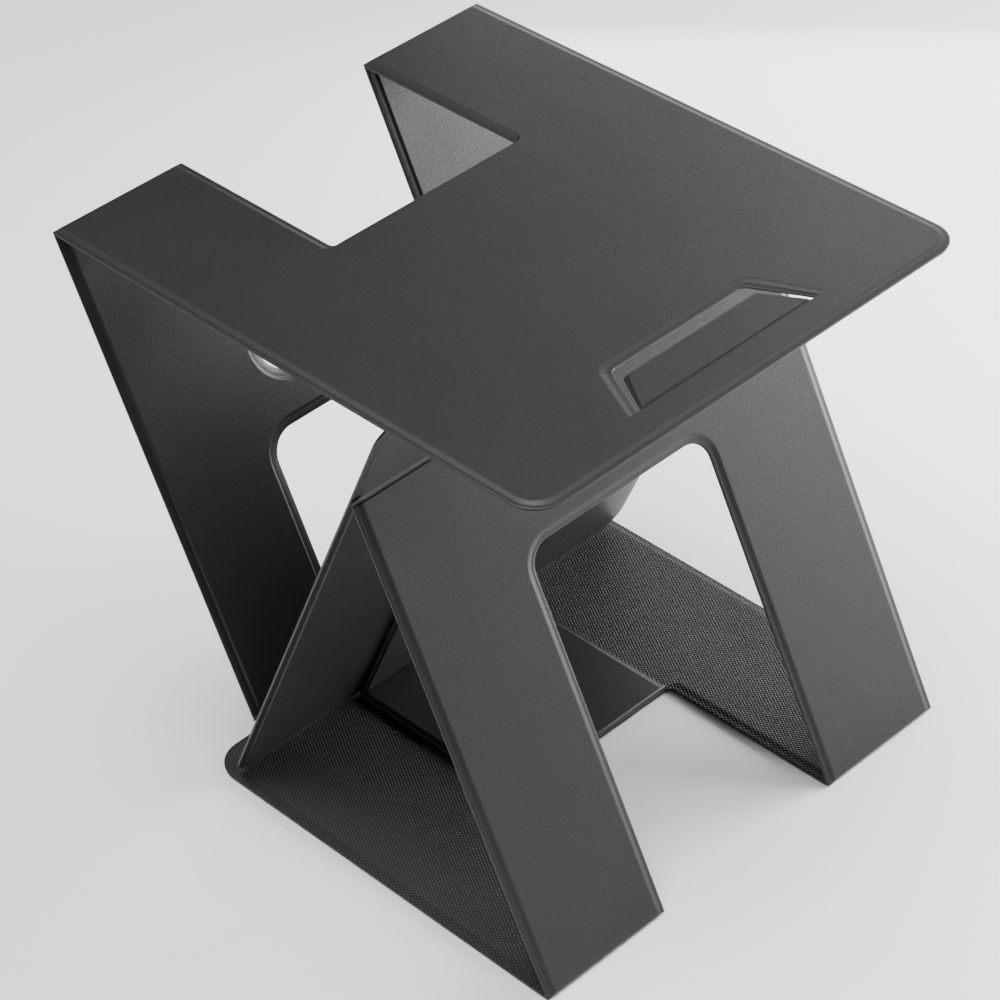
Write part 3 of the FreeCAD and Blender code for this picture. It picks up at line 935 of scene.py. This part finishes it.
@dataclass
class SpineFold(LeatherJoint):
    """A rounded spine of leather along the edge that a tongue turns on."""

    outline: tuple[Pair, ...] = ()
    turn: tuple[Pair, Pair] = ((0.0, 0.0), (0.0, 0.0))
    shrink: tuple[Pair, ...] = ((0.0, 0.72), (0.12, 0.86), (0.35, 0.96), (0.7, 1.0))

    def stations(self) -> list[tuple[float, float, float]]:
        """Places across the spine, whose ends are drawn in a little."""
        left, right = self.span
        near = [(left + inset, share, 0.0) for inset, share in self.shrink]
        far = [(right - inset, share, 0.0) for inset, share in reversed(self.shrink)]
        return near + far

    def section(self, height: float, seam: float) -> list[Pair]:
        """The spine's outline, drawn in towards its middle by a share."""
        middle = sum((Vector(point) for point in self.outline), Vector((0.0, 0.0)))
        middle /= len(self.outline)
        return [tuple(middle + (Vector(point) - middle) * height) for point in self.outline]

    def ends(self) -> tuple[Pair, Pair]:
        """Where the spine goes over from one body to the other."""
        return self.turn


def bulge(middle: Pair, radius: Pair, start: float, end: float, steps: int = 8) -> list[Pair]:
    """Points of an arc of an ellipse.

    Args:
        middle: the ellipse's centre.
        radius: its radii along y and z.
        start: first angle in degrees, from +y towards +z.
        end: last angle in degrees.
        steps: count of the arc's parts.

    Returns:
        The points.
    """
    points = []
    for step in range(steps + 1):
        angle = math.radians(start + (end - start) * step / steps)
        points.append((middle[0] + radius[0] * math.cos(angle),
                       middle[1] + radius[1] * math.sin(angle)))
    return points


# ------------------------------------------------------------------ the stand's sub-assemblies

FOLD_SHARE = 0.004
SOFT_FOLD_SHARE = 0.13


@dataclass
class TopPanel:
    """The top, with its hand notch, its finger slot and the slot's flap."""

    layout: StandLayout
    depth: float = 272.5
    notch_half: float = 50.5
    notch_depth: float = 93.6
    notch_corner: float = 3.5
    corner: float = 14.0
    slot_back: float = 230.4
    slot_front: float = 255.6
    slot_back_half: float = 36.3
    slot_front_half: float = 49.7
    slot_corner: float = 4.0
    flap_side_gap: float = 3.0
    flap_back_gap: float = 6.5
    flap_corner: float = 2.5
    flap_fold_gap: float = 0.2
    hinge_inset: float = 0.6
    hinge_reach: float = 0.3
    hinge_section: tuple[Pair, ...] = (
        (1.0, 0.9), (0.4, 0.72), (-0.4, 0.72), (-1.0, 0.9),
        (-1.0, 0.2), (-0.4, 0.03), (0.4, 0.03), (1.0, 0.2),
    )

    def outline(self) -> Outline:
        """The top's outer edge."""
        fold = -self.layout.fold_end(self.layout.rear_angle)
        wide = self.layout.half_width
        return Outline((
            Corner(self.notch_half, -self.notch_depth, 1, -1, self.notch_corner, True, FOLD_SHARE),
            Corner(self.notch_half, fold, 1, -1, fold=FOLD_SHARE),
            Corner(wide, fold, -1, -1, fold=FOLD_SHARE),
            Corner(wide, -self.depth, -1, 1, self.corner),
        ))

    def slot_outline(self) -> Outline:
        """The finger slot's edge."""
        front = -(self.slot_front + self.flap_fold_gap)
        return Outline((
            Corner(self.slot_back_half, -self.slot_back, 1, 1, self.slot_corner, True),
            Corner(self.slot_front_half, front, 1, -1, fold=SOFT_FOLD_SHARE),
        ))

    def flap_outline(self) -> Outline:
        """The flap's edge inside the slot."""
        slant = (self.slot_front_half - self.slot_back_half) / (self.slot_front - self.slot_back)
        back_half = self.slot_back_half + slant * self.flap_back_gap - self.flap_side_gap
        front_half = self.slot_front_half - self.flap_side_gap
        front = -(self.slot_front - self.flap_fold_gap)
        return Outline((
            Corner(back_half, -(self.slot_back + self.flap_back_gap), -1, -1, self.flap_corner),
            Corner(front_half, front, -1, 1, fold=4 * SOFT_FOLD_SHARE),
        ))

    def build(self, finishes: Finishes) -> None:
        """Make the top, its flap and the flap's hinge line.

        Args:
            finishes: the stand's materials.
        """
        place = self.layout
        lie = Lie(place.back_edge, place.height - place.middle, 0.0)
        SkinnedPanel("top", "top", lie, [self.outline(), self.slot_outline()],
                     leather_skins(BROAD_EDGE, CRISP_EDGE)).build(finishes)
        SkinnedPanel("slot_flap", "slot_flap", lie, [self.flap_outline()],
                     leather_skins(FLAP_EDGE, FLAP_EDGE)).build(finishes)
        hinge = place.back_edge - self.slot_front
        low = place.height - place.thick
        outline = tuple((hinge + along, low + up) for along, up in self.hinge_section)
        half = self.slot_front_half - self.flap_side_gap - self.hinge_inset
        SpineFold("slot_flap_hinge_leather", ("top", "slot_flap"), (-half, half), outline=outline,
                  turn=((hinge - self.hinge_reach, low),
                        (hinge + self.hinge_reach, low))).build(finishes)


@dataclass
class RearLeg:
    """The rear leg, with its hand notch, its crossbar and its window."""

    layout: StandLayout
    notch_half: float = 50.5
    notch_depth: float = 100.3
    notch_corner: float = 15.0
    crossbar: float = 21.4
    window_half: float = 60.5
    window_corner: float = 12.0

    def build(self, finishes: Finishes) -> None:
        """Make the rear leg's panel.

        Args:
            finishes: the stand's materials.
        """
        place = self.layout
        foot = -(place.rear_length - place.fold_gap)
        head = -place.fold_end(place.rear_angle)
        outline = Outline((
            Corner(self.window_half, -(self.notch_depth + self.crossbar), 1, 1,
                   self.window_corner, True),
            Corner(self.window_half, foot, 1, 1, fold=FOLD_SHARE),
            Corner(place.half_width, foot, -1, 1, fold=FOLD_SHARE),
            Corner(place.half_width, head, -1, -1, fold=FOLD_SHARE),
            Corner(self.notch_half, head, 1, -1, fold=FOLD_SHARE),
            Corner(self.notch_half, -self.notch_depth, 1, -1, self.notch_corner, True),
        ))
        lie = Lie(place.back_edge, place.height, place.rear_angle, place.middle)
        SkinnedPanel("rear_leg", "rear_leg", lie, [outline],
                     leather_skins(CRISP_EDGE, BROAD_EDGE, "inner", "outer")).build(finishes)


@dataclass
class FrontLeg:
    """The front leg, with the notch that the base tongue turns through."""

    layout: StandLayout
    notch_half: float = 50.5
    notch_depth: float = 167.9
    notch_corner: float = 11.0

    def build(self, finishes: Finishes) -> None:
        """Make the front leg's panel.

        Args:
            finishes: the stand's materials.
        """
        place = self.layout
        foot = place.fold_end(place.front_angle)
        head = place.front_length - place.fold_gap
        outline = Outline((
            Corner(self.notch_half, self.notch_depth, 1, 1, self.notch_corner, True),
            Corner(self.notch_half, foot, 1, 1, fold=FOLD_SHARE),
            Corner(place.half_width, foot, -1, 1, fold=FOLD_SHARE),
            Corner(place.half_width, head, -1, -1, fold=FOLD_SHARE),
        ))
        lie = Lie(place.front_edge, 0.0, place.front_angle, -place.middle)
        SkinnedPanel("front_leg", "front_leg", lie, [outline],
                     leather_skins(BROAD_EDGE, CRISP_EDGE, "outer", "inner")).build(finishes)


@dataclass
class BasePanel:
    """The base, with studded grip leather above and smooth leather below."""

    layout: StandLayout
    depth: float = 206.7
    notch_half: float = 50.5
    notch_depth: float = 93.6
    notch_corner: float = 3.5
    corner: float = 15.0

    def build(self, finishes: Finishes) -> None:
        """Make the base's panel.

        Args:
            finishes: the stand's materials.
        """
        place = self.layout
        front = place.fold_end(place.front_angle)
        outline = Outline((
            Corner(self.notch_half, self.notch_depth, 1, 1, self.notch_corner, True, FOLD_SHARE),
            Corner(self.notch_half, front, 1, 1, fold=FOLD_SHARE),
            Corner(place.half_width, front, -1, 1, fold=FOLD_SHARE),
            Corner(place.half_width, self.depth, -1, -1, self.corner),
        ))
        lie = Lie(place.front_edge, place.middle, 0.0)
        SkinnedPanel("base", "base", lie, [outline], (
            ("grip_skin", 1, BROAD_EDGE, Slot.GRIP),
            ("lower_skin", -1, BROAD_EDGE, Slot.LEATHER),
        )).build(finishes)


@dataclass
class Brace:
    """The brace between the base and the top, with a lock plate on each face."""

    layout: StandLayout
    corner: float = 11.0
    tongue_half: float = 47.4
    front_plate: Pair = (5.0, 163.0)
    front_plate_corner: float = 7.9
    back_plate_gap: float = 3.5
    back_plate_length: float = 93.0
    back_plate_corner: float = 9.9

    def plate(self, name: str, outline: Outline, lift: float, finishes: Finishes) -> None:
        """Make one lock plate.

        Args:
            name: name of the plate.
            outline: its edge, up the brace.
            lift: offset of its middle from the brace's front face.
            finishes: the stand's materials.
        """
        place = self.layout
        lie = Lie(place.foot_edge, place.foot_level, math.pi - place.brace_angle, lift)
        SkinnedPanel(name, "brace", lie, [outline],
                     leather_skins(TONGUE_EDGE, TONGUE_EDGE, "front", "back")).build(finishes)

    def build(self, finishes: Finishes) -> None:
        """Make the brace and its two plates.

        Args:
            finishes: the stand's materials.
        """
        place = self.layout
        outline = Outline((
            Corner(place.half_width, 0.0, -1, 1, self.corner),
            Corner(place.half_width, place.brace_length, -1, -1, self.corner),
        ))
        lie = Lie(place.foot_edge, place.foot_level, math.pi - place.brace_angle, -place.middle)
        SkinnedPanel("brace", "brace", lie, [outline],
                     leather_skins(CRISP_EDGE, CRISP_EDGE, "front", "back")).build(finishes)
        low, high = self.front_plate
        self.plate("front_plate", Outline((
            Corner(self.tongue_half, low, -1, 1, fold=SOFT_FOLD_SHARE),
            Corner(self.tongue_half, high, -1, -1, self.front_plate_corner),
        )), place.middle, finishes)
        high = place.brace_length - self.back_plate_gap
        self.plate("back_plate", Outline((
            Corner(self.tongue_half, high - self.back_plate_length, -1, 1, self.back_plate_corner),
            Corner(self.tongue_half, high, -1, -1, fold=SOFT_FOLD_SHARE),
        )), -place.middle - place.thick, finishes)


@dataclass
class Tongues:
    """The base tongue on the base and the top tongue under the top, with their spines."""

    layout: StandLayout
    half: float = 47.4
    corner: float = 6.0
    notch_depth: float = 93.6
    base_length: float = 93.5
    top_length: float = 83.0
    root_setback: float = 1.5
    spine: float = 1.2

    def build(self, finishes: Finishes) -> None:
        """Make both tongues and their spines.

        Args:
            finishes: the stand's materials.
        """
        self.base_tongue(finishes)
        self.top_tongue(finishes)

    def base_tongue(self, finishes: Finishes) -> None:
        """Make the tongue that lies on the base, and its spine.

        Args:
            finishes: the stand's materials.
        """
        place = self.layout
        near = self.notch_depth + place.fold_gap
        outline = Outline((
            Corner(self.half, near, -1, 1, fold=FOLD_SHARE),
            Corner(self.half, self.notch_depth + self.base_length, -1, -1, fold=SOFT_FOLD_SHARE),
        ))
        lie = Lie(place.front_edge, place.thick + place.middle, 0.0)
        SkinnedPanel("base_tongue", "base", lie, [outline],
                     leather_skins(TONGUE_EDGE, TONGUE_EDGE)).build(finishes)
        root = place.front_edge + self.notch_depth
        low_layer = bulge((root, place.middle), (0.7, 0.95), -90, -230)
        top_layer = bulge((root, place.thick + place.middle), (self.spine, 1.28), -130, -270)
        outline_points = ((root, 0.4), *low_layer, *top_layer, (root + 0.1, 2 * place.thick - 0.1))
        SpineFold("base_tongue_spine", ("base",), (-self.half, self.half), ("base_tongue_fold",),
                  outline=outline_points).build(finishes)

    def top_tongue(self, finishes: Finishes) -> None:
        """Make the tongue that lies under the top, and its spine.

        Args:
            finishes: the stand's materials.
        """
        place = self.layout
        outline = Outline((
            Corner(self.half, -(self.notch_depth + self.root_setback), -1, -1, fold=FOLD_SHARE),
            Corner(self.half, -(self.notch_depth + self.top_length), -1, 1, self.corner),
        ))
        level = place.height - place.thick
        lie = Lie(place.back_edge, level - place.middle, 0.0)
        SkinnedPanel("top_tongue", "top_tongue", lie, [outline],
                     leather_skins(TONGUE_EDGE, TONGUE_EDGE)).build(finishes)
        root = place.back_edge - self.notch_depth
        tip = root - self.root_setback
        wrap = bulge((root, level), (self.spine, 2.4), 88, -60)
        outline_points = ((root, level + 0.3), (root, level + 2.45), *wrap, (tip, level - 2.45),
                          (tip, level - 0.3))
        SpineFold("top_tongue_spine", ("top", "top_tongue"), (-self.half, self.half),
                  ("top_tongue_fold",), outline=outline_points,
                  turn=((root, level + 0.6), (root, level - 0.6))).build(finishes)


@dataclass
class PanelFolds:
    """The leather folds between the five panels."""

    layout: StandLayout
    notch_half: float = 50.5
    window_half: float = 60.5

    def sides(self, inner: float) -> dict[str, Pair]:
        """Spans of the two arms beside a notch.

        Args:
            inner: half the notch's width.

        Returns:
            The span of each hand.
        """
        outer = self.layout.half_width
        return {"left": (-outer, -inner), "right": (inner, outer)}

    def build(self, finishes: Finishes) -> None:
        """Make every fold.

        Args:
            finishes: the stand's materials.
        """
        place = self.layout
        rear = (math.cos(place.rear_angle), math.sin(place.rear_angle))
        front = (math.cos(place.front_angle), math.sin(place.front_angle))
        up = (-math.cos(place.brace_angle), math.sin(place.brace_angle))
        for hand, span in self.sides(self.notch_half).items():
            CornerFold(f"top_fold_{hand}_leather", ("top", "rear_leg"), span, (f"top_fold_{hand}",),
                       corner=(place.back_edge, place.height), first=(-1.0, 0.0),
                       second=(-rear[0], -rear[1]),
                       reach=place.fold_end(place.rear_angle)).build(finishes)
            CornerFold(f"front_fold_{hand}_leather", ("base", "front_leg"), span,
                       (f"front_fold_{hand}",), corner=(place.front_edge, 0.0),
                       first=(1.0, 0.0), second=front,
                       reach=place.fold_end(place.front_angle)).build(finishes)
        wide = place.half_width
        WebFold("front_apex_leather", ("front_leg", "brace"), (-wide, wide), ("brace_front_fold",),
                joint=(place.front_apex.y, place.front_apex.z), leg_end=(-front[1], front[0]),
                brace_way=up).build(finishes)
        for hand, span in self.sides(self.window_half).items():
            WebFold(f"rear_apex_{hand}_leather", ("rear_leg", "brace"), span,
                    (f"brace_rear_fold_{hand}",),
                    joint=(place.rear_apex.y, place.rear_apex.z), leg_end=(rear[1], -rear[0]),
                    brace_way=(-up[0], -up[1])).build(finishes)


class Inserts:
    """The magnets and the steel strips inside the boards."""

    steel = ("top_steel_strip", "base_steel_strip")
    magnets = ("brace_foot_magnets", "brace_top_magnets", "front_plate_magnets",
               "back_plate_magnets", "base_tongue_magnets", "top_tongue_magnets")

    def build(self, finishes: Finishes) -> None:
        """Dress the inserts.

        Args:
            finishes: the stand's materials.
        """
        for name in self.steel:
            finishes.dress_node(name, Slot.STEEL)
        for name in self.magnets:
            finishes.dress_node(name, Slot.MAGNET)


# ------------------------------------------------------------------ studio

@dataclass
class Studio:
    """A pale floor, soft lights and the camera."""

    floor_size: float = 6.0
    floor_drop: float = 0.0004
    world_light: float = 0.10
    lens: float = 125.37
    sensor: float = 36.0
    azimuth: float = -42.657
    elevation: float = 38.326
    roll: float = -3.248
    distance: float = 1476.3
    target: tuple[float, float, float] = (9.36, 20.28, 99.65)
    lights: list[tuple] = field(default_factory=lambda: [
        ("overhead_light", (-0.4, 0.1, 2.2), (0.0, 0.0, 0.0), 1.4, 80.0),
        ("edge_light", (0.80, -0.50, 1.10), (0.0, 0.0, 0.2), 0.35, 9.0),
        ("key_light", (0.75, -0.26, 0.28), (0.0, 0.0, 0.17), 0.4, 15.0),
        ("front_light", (0.42, -0.50, 0.24), (0.12, -0.02, 0.18), 0.25, 0.5),
        ("right_light", (0.46, 0.26, 0.20), (0.10, -0.05, 0.05), 0.38, 1.2),
        ("corner_light", (0.38, 0.10, 0.46), (0.12, -0.08, 0.25), 0.14, 0.20),
    ])

    def build(self) -> None:
        """Make the floor, the lights and the camera."""
        self.floor()
        self.world()
        for light in self.lights:
            self.light(*light)
        self.camera()

    def floor(self) -> None:
        """A large pale sheet under the stand."""
        half = self.floor_size / 2
        data = bpy.data.meshes.new("floor")
        corners = [(-half, -half, 0.0), (half, -half, 0.0), (half, half, 0.0), (-half, half, 0.0)]
        data.from_pydata(corners, [], [(0, 1, 2, 3)])
        floor = bpy.data.objects.new("floor", data)
        bpy.context.scene.collection.objects.link(floor)
        floor.location.z = -self.floor_drop
        sheet = NodeTree("studio_paper")
        grain = sheet.texture("ShaderNodeTexNoise", 3.0, in_Detail=3.0)
        sheet.tint(grain, (0.90, 0.90, 0.90), (0.93, 0.93, 0.93))
        sheet.shader.inputs["Roughness"].default_value = 0.9
        data.materials.append(sheet.material)

    def world(self) -> None:
        """An even white surrounding."""
        world = bpy.data.worlds.new("studio_world")
        world.use_nodes = True
        background = world.node_tree.nodes["Background"]
        background.inputs["Color"].default_value = (1.0, 1.0, 1.0, 1.0)
        background.inputs["Strength"].default_value = self.world_light
        bpy.context.scene.world = world

    def light(self, name: str, place: tuple[float, ...], aim: tuple[float, ...], size: float,
              power: float) -> None:
        """A soft square light.

        Args:
            name: name of the light.
            place: where it stands.
            aim: the point that it faces.
            size: its side.
            power: its power in watts.
        """
        data = bpy.data.lights.new(name, "AREA")
        data.shape = "SQUARE"
        data.size = size
        data.energy = power
        lamp = bpy.data.objects.new(name, data)
        lamp.location = place
        lamp.rotation_euler = (Vector(aim) - Vector(place)).to_track_quat("-Z", "Y").to_euler()
        bpy.context.scene.collection.objects.link(lamp)

    def camera(self) -> None:
        """The camera, turned a little about its own axis."""
        azimuth, elevation = math.radians(self.azimuth), math.radians(self.elevation)
        back = Vector((math.sin(azimuth) * math.cos(elevation),
                       -math.cos(azimuth) * math.cos(elevation), math.sin(elevation)))
        data = bpy.data.cameras.new("camera")
        data.lens, data.sensor_width = self.lens, self.sensor
        data.clip_start, data.clip_end = 0.01, 100.0
        camera = bpy.data.objects.new("camera", data)
        camera.location = (Vector(self.target) + back * self.distance) * MM
        aim = (-back).to_track_quat("-Z", "Y").to_matrix().to_4x4()
        spin = Matrix.Rotation(math.radians(self.roll), 4, "Z")
        camera.rotation_euler = (aim @ spin).to_euler()
        bpy.context.scene.collection.objects.link(camera)
        bpy.context.scene.camera = camera


def main() -> None:
    """Build the stand's looks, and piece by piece."""
    logging.basicConfig(level=logging.INFO, format="%(name)s: %(message)s")
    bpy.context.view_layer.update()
    finishes = Finishes()
    layout = StandLayout()
    for assembly in (TopPanel(layout), RearLeg(layout), FrontLeg(layout), BasePanel(layout),
                     Brace(layout), Tongues(layout), PanelFolds(layout), Inserts()):
        assembly.build(finishes)
    Studio().build()


if __name__ == "__main__":
    main()
